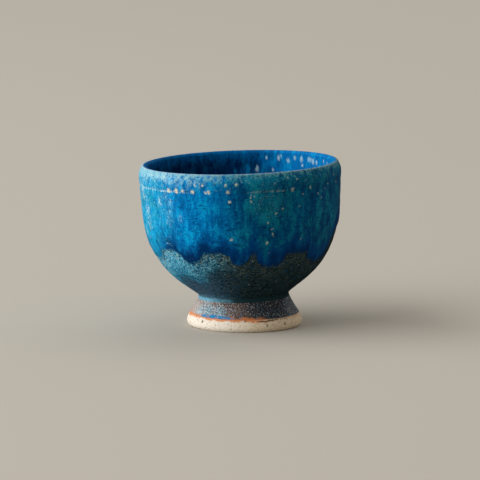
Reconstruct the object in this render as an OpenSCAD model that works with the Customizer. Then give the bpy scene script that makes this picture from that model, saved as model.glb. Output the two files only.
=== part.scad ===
// Guinomi: a small hand-thrown sake cup with a leaning bowl on a luted, flared foot ring.
// Millimetres. +Z is up, the origin is the centre of the foot's resting face, -Y is the front.

/* [Bowl clay] */
// Height of the lip's top above the foot joint
bowl_h = 46; // [42:0.5:52]
// How far the bowl's seat stands out over the foot's neck
seat_overhang = 0.7; // [0.4:0.05:1.2]
// Slope of the flank where it leaves the foot, from the horizontal
flank_angle = 43; // [36:1:50]
// Height of the shoulder, where the flank turns into the upright wall
shoulder_z = 31.3; // [28:0.1:33]
// Outer diameter at the shoulder
shoulder_d = 69.2; // [64:0.2:72]
// Outward lean of the wall at the shoulder
shoulder_lean = 4; // [1:0.5:6]
// Outer diameter at the turned crease under the lip band
crease_d = 70.2; // [66:0.2:73]
// Height of the lip band, from the crease to the lip's top
band_h = 6.2; // [5:0.1:7]
// How far the lip band swells beyond the crease
band_swell = 0.35; // [0.1:0.05:0.6]
// How far the lip's outer edge turns in from the crease
lip_turn_in = 0.3; // [0:0.1:0.8]
// Thickness of the rounded lip
lip_t = 1.9; // [1.5:0.1:2.4]
// Wall thickness at the shoulder
wall_t = 2.9; // [2.4:0.1:3.6]
// Floor thickness at the centre, above the foot joint
floor_t = 4.6; // [3.5:0.1:6]

/* [Lean of the bowl on its foot] */
// Lean of the bowl's axis towards -X, in degrees
lean_left = 1.8; // [0:0.1:2.5]
// Lean of the bowl's axis towards +Y, in degrees
lean_back = 1; // [0:0.1:2]
// Height of the foot joint at the bowl's axis
joint_z = 11.4; // [10:0.1:12.5]
// Offset of the bowl's axis from the foot's, along X
bowl_shift = -0.3; // [-0.6:0.1:0.6]

/* [Foot ring] */
// Largest diameter of the foot, just above its resting edge
foot_d = 40.6; // [39:0.2:43]
// Outer diameter of the foot at the joint
neck_d = 30.4; // [28:0.2:33]
// Wall of the foot at the joint, round its hollow
neck_wall_t = 4; // [3:0.1:6]
// Slope of the foot's outside at the joint, from the vertical
neck_flare = 23; // [18:1:28]
// Height of the foot's widest line
foot_heel_z = 1.5; // [1:0.1:2]
// How far the rounded heel stands out over the resting face
heel_round = 1; // [0.6:0.1:1.6]
// Width of the flat ring that the cup rests on
rest_w = 4.8; // [3:0.1:6]
// Chamfer at the mouth of the foot's hollow
hollow_chamfer = 0.8; // [0.4:0.1:1.2]
// Thickness of the slip that lutes the foot to the bowl
slip_t = 0.5; // [0.3:0.1:0.8]

/* [Glazes] */
// Thickness of the thin base coat on the outside and over the lip
base_glaze_t = 0.25; // [0.15:0.05:0.4]
// Thickness of the top coat under the lip
top_glaze_lip_t = 0.2; // [0.1:0.05:0.3]
// Thickness of the top coat where it has run
top_glaze_run_t = 0.5; // [0.3:0.05:0.7]
// Mean height of the top coat's lower edge, above the joint
run_line_z = 16.2; // [14:0.2:20]
// Thickness of the liner glaze on the inner wall
liner_glaze_t = 0.4; // [0.25:0.05:0.6]
// Thickness of the liner glaze pooled on the floor
liner_pool_t = 1.2; // [0.6:0.1:1.6]
// Diameter of the glaze pooled on the floor
liner_pool_d = 38; // [28:1:44]
// Drop of the glaze roll from the joint down the foot
roll_drop = 1.7; // [1.3:0.1:2]
// Radial thickness of the glaze roll's lower lip
roll_t = 0.25; // [0.2:0.05:0.4]
// Thickness of the glaze skim on the foot
foot_glaze_t = 0.18; // [0.12:0.02:0.3]
// Height of the line where the foot's glaze stops and bare clay starts
foot_glaze_z = 4.5; // [3.5:0.1:6]

/* [Hidden] */

$fn = 96;
flank_steps = 16;
wall_steps = 5;
band_steps = 7;
lip_steps = 8;
inner_steps = 16;
foot_steps = 8;
heel_steps = 4;
roll_steps = 6;

// Pull of the curves' handles, as lengths along their end tangents
flank_pull = 7;
shoulder_pull = 22.5;
inner_shoulder_pull = 19;
floor_pull = 21;
band_pull = 2.2;
foot_heel_pull = 2.4;
neck_pull = 7;

// Runs of the top coat, in order round the bowl: azimuth in degrees from +X, width, drop of the
// tip below the run line, and rise above it of the bay between this run and the next.
// The tall bay on the right is a finger mark, where the cup was held for dipping.
runs = [[-163, 12, 1.8, 2.6], [-124, 8.5, 2.6, 2.2], [-91, 7, 2.6, 0.8], [-70, 11, 3.4, 0.3],
        [-37, 12, 3.4, 8.8], [36, 9, 0.4, 3.2], [62, 11, 1.6, 2.6], [94, 8, 0.8, 2],
        [124, 12, 2.4, 2.4], [158, 9, 1, 2.2]];

neck_r = neck_d / 2;
hollow_r = neck_r - neck_wall_t;
rest_r = foot_d / 2 - heel_round;
rest_bore_r = rest_r - rest_w;
seat_r = neck_r + seat_overhang;
shoulder_r = shoulder_d / 2;
crease_r = crease_d / 2;
crease_z = bowl_h - band_h;
lip_r = lip_t / 2;
lip_centre = [crease_r - lip_turn_in - lip_r, bowl_h - lip_r];
seat_coat_r = seat_r + base_glaze_t / sin(flank_angle);
foot_tall_z = joint_z + 3;
top_glaze_low_z = run_line_z - max([for (r = runs) r[2]]) - 3;
// Share by which a bay is wider than the gap between its runs, so that their edges flow together
bay_spread = 0.05;
// Size of the cutting solids, larger than the cup
beyond = 60;

// A point on the cubic curve from p0 to p3 with handles p1 and p2, and a line of such points
function curve(p0, p1, p2, p3, t) =
    pow(1 - t, 3) * p0 + 3 * t * pow(1 - t, 2) * p1 + 3 * t * t * (1 - t) * p2 + pow(t, 3) * p3;
function curve_points(p0, p1, p2, p3, steps) =
    [for (i = [0 : steps]) curve(p0, p1, p2, p3, i / steps)];
function direction(angle) = [cos(angle), sin(angle)];
// Points on an arc between two directions
function arc(centre, r, from, to, steps) =
    [for (i = [0 : steps]) centre + r * direction(from + (to - from) * i / steps)];
// A list without its first item, a list turned round, and a smooth step from a to b
function tail(list) = [for (i = [1 : len(list) - 1]) list[i]];
function backwards(list) = [for (i = [len(list) - 1 : -1 : 0]) list[i]];
function blend(a, b, t) = let(s = max(0, min(1, t))) a + (b - a) * s * s * (3 - 2 * s);

// Unit normal to the right of the way along a line of points, at point i
function normal(points, i) =
    let(d = points[min(i + 1, len(points) - 1)] - points[max(i - 1, 0)])
    [d[1], -d[0]] / norm(d);
// The line of points moved out by the coat's thickness at each point
function coated(points, thickness) =
    [for (i = [0 : len(points) - 1]) points[i] + thickness[i] * normal(points, i)];
// A line of points with its last one moved to the given place
function ending(points, last) = [for (i = [0 : len(points) - 1]) i < len(points) - 1 ? points[i] : last];

// Outer wall of the clay bowl, from the seat's edge to the lip
wall_lean = direction(90 - shoulder_lean);
flank = curve_points(
    [seat_r, 0],
    [seat_r, 0] + flank_pull * direction(flank_angle),
    [shoulder_r, shoulder_z] - shoulder_pull * wall_lean,
    [shoulder_r, shoulder_z], flank_steps);
upright = curve_points(
    [shoulder_r, shoulder_z],
    [shoulder_r, shoulder_z] + (crease_z - shoulder_z) / 3 * wall_lean,
    [crease_r, crease_z] - (crease_z - shoulder_z) / 3 * direction(90),
    [crease_r, crease_z], wall_steps);
band = curve_points(
    [crease_r, crease_z],
    [crease_r + band_swell * 4 / 3, crease_z + band_pull],
    [crease_r + band_swell * 4 / 3 - lip_turn_in / 3, lip_centre[1] - band_pull / 2],
    lip_centre + [lip_r, 0], band_steps);
outer_wall = concat(flank, tail(upright), tail(band));

// Rounded lip and the inner wall down to the middle of the floor
lip = arc(lip_centre, lip_r, 0, 180, lip_steps);
inner_shoulder = [shoulder_r - wall_t, shoulder_z];
inner_upright = curve_points(
    lip_centre - [lip_r, 0],
    lip_centre - [lip_r, (lip_centre[1] - shoulder_z) / 3],
    inner_shoulder + (lip_centre[1] - shoulder_z) / 3 * wall_lean,
    inner_shoulder, wall_steps);
basin = curve_points(
    inner_shoulder,
    inner_shoulder - inner_shoulder_pull * wall_lean,
    [floor_pull, floor_t],
    [0, floor_t], inner_steps);
inner_wall = concat(inner_upright, tail(basin));

// Surfaces of the coats: the base coat and the liner meet on the inner side of the lip
dressed = concat(outer_wall, tail(lip));
coats_meet = inner_wall[0] - [base_glaze_t, 0];
base_coat = ending(
    concat([[seat_coat_r, 0]], tail(coated(dressed, [for (p = dressed) base_glaze_t]))),
    coats_meet);
// The top coat thickens on its way down from the crease to the run line
top_bed = [for (i = [0 : len(outer_wall) - 1]) if (base_coat[i][1] > top_glaze_low_z) base_coat[i]];
top_coat = coated(top_bed, [for (p = top_bed)
    blend(top_glaze_lip_t, top_glaze_run_t, (crease_z - p[1]) / (crease_z - run_line_z))]);
// The liner thickens below the lip band, and again where it pools on the floor
liner_t = [for (p = inner_wall) blend(
    blend(base_glaze_t, liner_glaze_t, (lip_centre[1] - p[1]) / band_h),
    liner_pool_t, 1 - 2 * p[0] / liner_pool_d)];
liner_coat = concat([coats_meet], tail(ending(coated(inner_wall, liner_t), [0, floor_t + liner_pool_t])));

// Run i and the bay after it, on the wall at the run line
run_r = lookup(run_line_z, [for (p = flank) [p[1], p[0]]]);
function run_half(i) = asin(runs[i][1] / 2 / run_r);
function next_run(i) = (i + 1) % len(runs);
function bay_start(i) = runs[i][0] + run_half(i);
function bay_end(i) =
    runs[next_run(i)][0] - run_half(next_run(i)) + (next_run(i) == 0 ? 360 : 0);

// The bowl's own frame: upright on the joint's middle, leaning as it was luted
module leaning() {
    translate([bowl_shift, 0, joint_z]) rotate([-lean_back, -lean_left, 0]) children();
}

// Everything above a level in the bowl's frame
module above(z) {
    leaning() translate([0, 0, z]) cylinder(r = beyond, h = beyond);
}

// The foot before its top is cut to the joint, with its outside moved out by a coat
module foot_blank(coat = 0) {
    rest = [rest_r, 0];
    heel = [foot_d / 2 + coat, foot_heel_z];
    neck = [neck_r + coat, joint_z];
    rotate_extrude() polygon(concat(
        [[rest_bore_r, 0]],
        curve_points(rest, [(rest[0] + heel[0]) / 2, 0], heel - [0, foot_heel_z / 2], heel, heel_steps),
        tail(curve_points(heel, heel + [0, foot_heel_pull],
            neck - neck_pull * direction(90 + neck_flare), neck, foot_steps)),
        [[neck[0], foot_tall_z],
         [hollow_r, foot_tall_z],
         [hollow_r, joint_z],
         [rest_bore_r - hollow_chamfer, hollow_chamfer]]));
}

// A radial prism through the wall at an azimuth, with a round end at a height: a run ends
// downwards and reaches up from there, a bay ends upwards and reaches down
module tongue(azimuth, width, end_z, up) {
    rotate([0, 0, azimuth]) translate([hollow_r, 0, end_z + (up ? width : -width) / 2]) {
        rotate([0, 90, 0]) cylinder(d = width, h = beyond);
        translate([0, -width / 2, up ? 0 : -beyond]) cube([beyond, width, beyond]);
    }
}

module bowl() {
    color("tan") leaning() rotate_extrude()
        polygon(concat([[0, 0]], outer_wall, tail(lip), tail(inner_wall)));
}

module foot_ring() {
    color("wheat") difference() {
        foot_blank();
        above(-slip_t);
    }
}

module joint_slip() {
    color("burlywood") leaning() translate([0, 0, -slip_t]) difference() {
        cylinder(r = neck_r, h = slip_t);
        translate([0, 0, -slip_t]) cylinder(r = hollow_r, h = 3 * slip_t);
    }
}

module base_glaze() {
    color("darkslategray") leaning() rotate_extrude()
        polygon(concat(dressed, backwards(base_coat)));
}

module top_glaze() {
    color("royalblue") leaning() intersection() {
        rotate_extrude() polygon(concat(top_bed, backwards(top_coat)));
        difference() {
            union() {
                translate([0, 0, run_line_z]) cylinder(r = beyond, h = beyond);
                for (r = runs) tongue(r[0], r[1], run_line_z - r[2], true);
            }
            for (i = [0 : len(runs) - 1])
                tongue((bay_start(i) + bay_end(i)) / 2,
                    2 * run_r * sin((bay_end(i) - bay_start(i)) / 2) * (1 + bay_spread),
                    run_line_z + runs[i][3], false);
        }
    }
}

module liner_glaze() {
    color("mediumblue") leaning() rotate_extrude()
        polygon(concat(inner_wall, backwards(liner_coat)));
}

module neck_glaze_roll() {
    inside_r = (hollow_r + neck_r) / 2;
    low = [neck_r + roll_drop * tan(neck_flare), -roll_drop];
    color("lightsteelblue") difference() {
        leaning() rotate_extrude() polygon(concat(
            [[inside_r, -roll_drop]],
            curve_points(low, low + [2 * roll_t, 0], [seat_coat_r + roll_t / 2, -roll_drop / 3],
                [seat_coat_r, 0], roll_steps),
            [[inside_r, 0]]));
        foot_ring();
        joint_slip();
    }
}

module foot_glaze() {
    color("rosybrown") difference() {
        foot_blank(foot_glaze_t);
        foot_blank();
        above(-roll_drop);
        translate([0, 0, foot_glaze_z - beyond]) cylinder(r = beyond, h = beyond);
    }
}

bowl();
foot_ring();
joint_slip();
base_glaze();
top_glaze();
liner_glaze();
neck_glaze_roll();
foot_glaze();
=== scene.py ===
"""Dresses the guinomi: a thrown bowl leaning on a turned foot, with its fired coats as separate pieces."""

import math

import bmesh
import bpy
import numpy as np
from mathutils import Euler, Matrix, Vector


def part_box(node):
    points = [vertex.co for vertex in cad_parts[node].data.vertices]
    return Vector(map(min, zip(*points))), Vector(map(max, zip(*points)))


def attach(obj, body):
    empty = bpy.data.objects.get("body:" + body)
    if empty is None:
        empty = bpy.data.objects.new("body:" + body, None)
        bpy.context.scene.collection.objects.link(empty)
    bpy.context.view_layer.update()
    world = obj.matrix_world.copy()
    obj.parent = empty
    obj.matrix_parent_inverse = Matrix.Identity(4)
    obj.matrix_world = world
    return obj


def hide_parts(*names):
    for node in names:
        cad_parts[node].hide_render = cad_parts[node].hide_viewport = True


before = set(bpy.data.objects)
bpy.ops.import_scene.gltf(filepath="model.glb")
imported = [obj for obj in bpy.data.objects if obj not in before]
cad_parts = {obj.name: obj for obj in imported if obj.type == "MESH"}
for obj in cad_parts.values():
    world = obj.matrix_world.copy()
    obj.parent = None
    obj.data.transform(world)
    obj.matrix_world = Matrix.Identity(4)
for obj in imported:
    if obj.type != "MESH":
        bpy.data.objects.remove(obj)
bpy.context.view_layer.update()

bl_info = {
    "name": "Guinomi sake cup",
    "version": (1, 0, 0),
    "blender": (4, 5, 0),
    "location": "View3D > Sidebar > Guinomi",
    "description": "Models the pieces, glazes and stage of a small thrown sake cup",
    "category": "Object",
}

MM = 0.001
BODY = "root"
FOOT_LOW, FOOT_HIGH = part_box("foot_ring")
SKIM_LOW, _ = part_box("foot_glaze")


def number(name, value, description, **kind):
    """A number property."""
    return bpy.props.FloatProperty(name=name, description=description, default=value, **kind)


def length(name, millimetres, description):
    """A length property, given in millimetres and kept in metres."""
    return number(name, millimetres * MM, description, unit="LENGTH", precision=5)


def angle(name, degrees, description):
    """An angle property, given in degrees."""
    return number(name, math.radians(degrees), description, subtype="ANGLE")


def vector(name, value, description, **kind):
    """A property of three numbers."""
    return bpy.props.FloatVectorProperty(name=name, description=description, default=value, size=3, **kind)


def colour(name, rgb, description):
    """A colour property, as linear light."""
    return vector(name, rgb, description, min=0, max=1, subtype="COLOR")


class CupBowl(bpy.types.PropertyGroup):
    """Thrown bowl, measured above its joint with the foot"""

    height: length("Height", 46, "Height of the lip's top above the joint")
    seat_d: length("Seat diameter", 31.8, "Outer diameter where the bowl stands on the foot")
    flank_angle: angle("Flank angle", 43, "Slope of the flank where it leaves the foot")
    flank_pull: length("Flank handle", 7, "Length of the flank curve's lower handle")
    shoulder_z: length("Shoulder height", 31.3, "Height where the flank turns into the wall")
    shoulder_d: length("Shoulder diameter", 69.2, "Outer diameter at the shoulder")
    shoulder_lean: angle("Shoulder lean", 4, "Outward lean of the wall at the shoulder")
    shoulder_pull: length("Shoulder handle", 22.5, "Length of the flank curve's upper handle")
    crease_d: length("Crease diameter", 70.2, "Outer diameter at the turned crease under the lip band")
    band_h: length("Lip band height", 6.2, "Height of the lip band above the crease")
    band_swell: length("Lip band swell", 0.31, "How far the lip band stands out beyond the crease")
    band_pull: length("Lip band handle", 2.2, "Length of the lip band curve's handles")
    lip_turn_in: length("Lip turn-in", 0.3, "How far the lip's outer edge turns in from the crease")
    lip_t: length("Lip thickness", 1.9, "Thickness of the rounded lip")
    wall_t: length("Wall thickness", 2.9, "Thickness of the wall at the shoulder")
    inner_pull: length("Inner wall handle", 19, "Length of the basin curve's upper handle")
    floor_t: length("Floor thickness", 4.6, "Thickness of the floor at the centre")
    floor_pull: length("Floor handle", 21, "Length of the basin curve's lower handle")
    ring_pitch: length("Throwing ring pitch", 3.4, "Rise of the wall between two throwing rings")
    ring_depth: length("Throwing ring depth", 0.05, "Half the depth of the throwing rings on the wall")
    wobble: length("Wobble", 0.4, "Strength of the swells and hollows that throwing leaves")
    wobble_x: length("Wobble along X", 24, "Size of the swells and hollows along X")
    wobble_y: length("Wobble along Y", 29, "Size of the swells and hollows along Y")
    lean_left: angle("Lean to the left", 1.8, "Lean of the bowl's axis towards -X")
    lean_back: angle("Lean to the back", 1, "Lean of the bowl's axis towards +Y")
    joint_z: length("Joint height", 11.4, "Height of the joint at the bowl's axis")
    shift: length("Shift", -0.3, "Offset of the bowl's axis from the foot's, along X")


class CupFoot(bpy.types.PropertyGroup):
    """Turned foot ring"""

    heel_d: number("Heel diameter", FOOT_HIGH.x - FOOT_LOW.x,
                   "Largest diameter, just above the resting face", unit="LENGTH", precision=5)
    heel_z: length("Heel height", 1.5, "Height of the widest line")
    heel_round: length("Heel round", 1, "How far the heel stands out over the resting face")
    heel_pull: length("Heel handle", 2.4, "Length of the flare curve's lower handle")
    rest_w: length("Resting ring", 4.8, "Width of the flat ring that the cup rests on")
    neck_d: length("Neck diameter", 30.4, "Outer diameter at the joint")
    neck_wall_t: length("Neck wall", 4, "Wall of the foot at the joint")
    neck_flare: angle("Neck flare", 23, "Slope of the outside at the joint, from the vertical")
    neck_pull: length("Neck handle", 7, "Length of the flare curve's upper handle")
    chamfer: length("Hollow chamfer", 0.8, "Chamfer at the mouth of the hollow")
    slip_t: length("Slip thickness", 0.5, "Thickness of the slip in the joint")


class CupCoats(bpy.types.PropertyGroup):
    """Glaze coats: thicknesses and edges"""

    base_t: length("Base coat", 0.25, "Thickness of the thin base coat")
    top_lip_t: length("Top coat at the lip", 0.2, "Thickness of the top coat under the lip")
    top_run_t: length("Top coat in the runs", 0.5, "Thickness of the top coat where it has run")
    edge_round: length("Run edge", 1.6, "Width over which the top coat's edge rounds off")
    run_line_z: length("Run line", 15.6, "Mean height of the top coat's lower edge above the joint")
    ragged: length("Ragged edge", 0.55, "How far the top coat's lower edge strays up and down")
    ragged_size: length("Ragged edge size", 1.7, "Width of the notches in the top coat's lower edge")
    liner_t: length("Liner", 0.4, "Thickness of the liner on the inner wall")
    pool_t: length("Pool", 1.2, "Thickness of the liner pooled on the floor")
    pool_d: length("Pool diameter", 38, "Diameter of the glaze pooled on the floor")
    roll_drop: length("Neck roll drop", 1.7, "Drop of the glaze roll from the joint down the foot")
    roll_t: length("Neck roll lip", 0.25, "Thickness of the glaze roll's lower lip")
    skim_t: length("Foot skim", 0.18, "Thickness of the glaze on the foot")
    skim_z: number("Foot glaze line", SKIM_LOW.z, "Height where the foot's glaze stops",
                   unit="LENGTH", precision=5)


class CupBlues(bpy.types.PropertyGroup):
    """Colours of the blue top coat and liner"""

    # Sky, deep and teal are partly the glaze's own tones and partly painted light: a painted sheen toward
    # the window and painted shade on the shadowed side.
    sky: colour("Sky", (0.008, 0.35, 0.56), "Palest blue, on the weather side")
    cobalt: colour("Cobalt", (0.0007, 0.14, 0.40), "Ground of the top coat")
    deep: colour("Deep blue", (0.0004, 0.058, 0.165), "Ground of the top coat on the lee side")
    azure: colour("Azure", (0.002, 0.255, 0.50), "Streaks where the top coat is thinner")
    teal: colour("Teal", (0.003, 0.125, 0.18), "Green clouds in the top coat")
    thick: colour("Thick blue", (0.0004, 0.040, 0.17), "Thick glaze above the runs")
    navy: colour("Navy", (0.0004, 0.016, 0.075), "Thickest glaze, at the runs' tips and in dark strokes")
    # Dim is the lip band's pale glaze in painted shade on the shadowed side. Worn, the lip's edge there, is
    # partly its own greyer tone and partly painted shade.
    pale: colour("Pale lip", (0.25, 0.48, 0.56), "Thin glaze on the lip band")
    worn: colour("Worn lip", (0.12, 0.29, 0.33), "Thinnest glaze, at the lip's edge on the lee side")
    dim: colour("Dim lip", (0.008, 0.165, 0.24), "Thin glaze on the lip band on the lee side")
    buff: colour("Lip edge", (0.46, 0.50, 0.52), "Clay that shows through at the lip's edge")
    brown: colour("Brown lip edge", (0.38, 0.33, 0.28), "The lip's edge on the lee side")
    cream: colour("Cream flecks", (0.68, 0.66, 0.50), "Burst bubbles and pale crystals")
    frosty: colour("Frosty flecks", (0.44, 0.66, 0.72), "Crystals in the thin glaze of the weather side")
    liner: colour("Liner", (0.001, 0.14, 0.40), "Ground of the liner")
    # The pool's dark blue also stands for painted shade on the liner's wall that faces away from the window.
    pool: colour("Pool", (0.0003, 0.014, 0.06), "Liner where it is thick")


class CupDarks(bpy.types.PropertyGroup):
    """Colours of the base coat, the foot's glaze and the clay"""

    charcoal: colour("Charcoal", (0.012, 0.033, 0.038), "Ground of the base coat")
    slate: colour("Slate", (0.045, 0.125, 0.21), "Base coat low on the weather side")
    turquoise: colour("Turquoise", (0.006, 0.34, 0.56), "Mottle of the base coat under the runs")
    haze: colour("Haze", (0.12, 0.145, 0.115), "Faint web on the lee side")
    ink: colour("Ink", (0.001, 0.095, 0.225), "Dark eyes in the mottle")
    web: colour("Web", (0.38, 0.72, 0.80), "Crystal web below the runs")
    tan: colour("Tan", (0.54, 0.60, 0.42), "Crystal web close to the runs")
    # The neck roll colour is a painted highlight: the pale blue that the window light gives the glaze at the
    # neck.
    roll: colour("Neck roll", (0.16, 0.39, 0.52), "Glaze gathered at the neck")
    earth: colour("Earth", (0.035, 0.03, 0.022), "Brown grains of the base coat")
    umber: colour("Umber", (0.11, 0.075, 0.062), "Ground of the foot's glaze")
    # Ash is partly the foot glaze's own grey and partly its painted shade on the shadowed side.
    ash: colour("Ash", (0.03, 0.032, 0.035), "Foot's glaze on the lee side")
    frost: colour("Frost", (0.50, 0.56, 0.60), "Pale speckle of the foot's glaze")
    bloom: colour("Bloom", (0.18, 0.38, 0.45), "Turquoise bloom of the foot's glaze")
    lake: colour("Lake", (0.02, 0.21, 0.45), "Blue that has run down on the foot")
    blush: colour("Blush", (0.50, 0.36, 0.27), "Foot's glaze where it is thinnest")
    rust: colour("Flash", (0.60, 0.19, 0.05), "Orange flash at the glaze line")
    clay: colour("Clay", (0.75, 0.70, 0.63), "Bare fired clay")
    # Grit is also the clay's painted warm shade on the shadowed side.
    grit: colour("Grit", (0.63, 0.48, 0.28), "Darker grains of the clay")
    crumb: colour("Crumb", (0.30, 0.22, 0.14), "Dark crumbs of the clay")
    iron: colour("Iron", (0.04, 0.03, 0.025), "Iron specks in the clay")


class CupStage(bpy.types.PropertyGroup):
    """Camera, light and floor"""

    lens: number("Lens", 427.5, "Focal length of the long lens", unit="CAMERA")
    sensor: number("Sensor", 36, "Width of the sensor", unit="CAMERA")
    camera_at: vector("Camera place", (-0.00159, -1.98858, 0.34283), "Where the camera stands",
                      subtype="TRANSLATION", unit="LENGTH")
    pitch: angle("Camera pitch", 8.943, "How far the camera looks down")
    floor_size: length("Floor size", 12000, "Width of the floor")
    floor_colour: colour("Floor colour", (0.43, 0.405, 0.36), "Colour of the plain pale floor")
    key_from: vector("Window direction", (-0.88, -0.18, 0.43), "Where the large soft light comes from",
                     subtype="DIRECTION")
    key_distance: length("Window distance", 1800, "Distance of the large soft light")
    key_size: length("Window size", 2600, "Width of the large soft light")
    key_watts: number("Window power", 70, "Power of the large soft light", unit="POWER")
    back_from: vector("Back light direction", (0.45, 0.75, 0.65),
                      "Where the weak light from the room behind comes from", subtype="DIRECTION")
    back_watts: number("Back light power", 15, "Power of the weak light from behind", unit="POWER")
    fill: number("Fill", 0.42, "Strength of the even light from all round", min=0)
    sheen: number("Sheen", 0.035, "Strength of the even light as the glazes reflect it", min=0)
    fill_colour: colour("Fill colour", (1.0, 0.94, 0.85), "Warm tint of the even light")
    floor_sheen: colour("Floor sheen", (0.04, 0.037, 0.033), "Colour of the floor as the glazes reflect it")
    room: colour("Room", (0.47, 0.43, 0.36), "Pale room behind the floor's edge")


# Runs of the top coat, in order round the bowl: azimuth in degrees from +X, width, drop of the tip
# below the run line and rise above it of the bay between this run and the next, in millimetres.
# The tall bay on the right is a finger mark, where the cup was held for dipping.
RUNS = ((-160, 10, 1.3, 2.8), (-124, 8.2, 1.7, 2.0), (-91.5, 6.4, 2.4, 1.6), (-71, 10.4, 3.7, 0.6),
        (-32.5, 13, 3.6, 8.7), (36, 9, 0.4, 2.8), (62, 11, 1.6, 2.6), (94, 8, 0.8, 2.0),
        (124, 12, 2.4, 2.4), (158, 9, 1.0, 2.2))
# Share by which a bay is wider than the gap between its runs, so that their edges flow together
BAY_SPREAD = 0.12
# Rows of vertices above the run line, in millimetres, close together where the edge rounds off
EDGE_ROWS = (0, 0.15, 0.35, 0.6, 0.9, 1.3, 1.8)

SPIN_STEPS = 360
WELD = 0.002 * MM
# Steps along the section's curves: the flank and basin, the upright wall, the short curves, and the foot's
LONG_STEPS, WALL_STEPS, SHORT_STEPS, HEEL_STEPS, FLARE_STEPS = 34, 10, 12, 8, 20
# Shares that are left of the edge's rounding at its very end, and of the top coat's thickness at the lip
BLUNT_END, LIP_SHARE = 0.02, 0.05
# Faces that meet at less than this are shaded as one surface
SMOOTH_BELOW = math.radians(50)


# Lines of the cup's section: rows of radius and height

def ray(direction):
    """Unit step in the section at an angle from the radius."""
    return np.array((math.cos(direction), math.sin(direction)))


def curve(start, start_handle, end_handle, end, steps):
    """Points along a cubic curve with two handles."""
    t = np.linspace(0, 1, steps + 1)[:, None]
    return ((1 - t) ** 3 * start + 3 * t * (1 - t) ** 2 * start_handle
            + 3 * t ** 2 * (1 - t) * end_handle + t ** 3 * end)


def arc(centre, radius, first, last, steps):
    """Points along an arc between two angles."""
    return np.array([centre + radius * ray(first + (last - first) * i / steps) for i in range(steps + 1)])


def joined(*lines):
    """One line from several that share their end points."""
    return np.vstack([lines[0]] + [line[1:] for line in lines[1:]])


def moved_out(line, thickness):
    """The line moved to the right of its way by a thickness at each point."""
    way = np.gradient(line, axis=0)
    normal = np.stack((way[:, 1], -way[:, 0]), 1) / np.linalg.norm(way, axis=1)[:, None]
    return line + normal * np.broadcast_to(thickness, len(line))[:, None]


def blend(first, last, share):
    """Smooth step from one value to another."""
    s = np.clip(share, 0, 1)
    return first + (last - first) * s * s * (3 - 2 * s)


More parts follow.
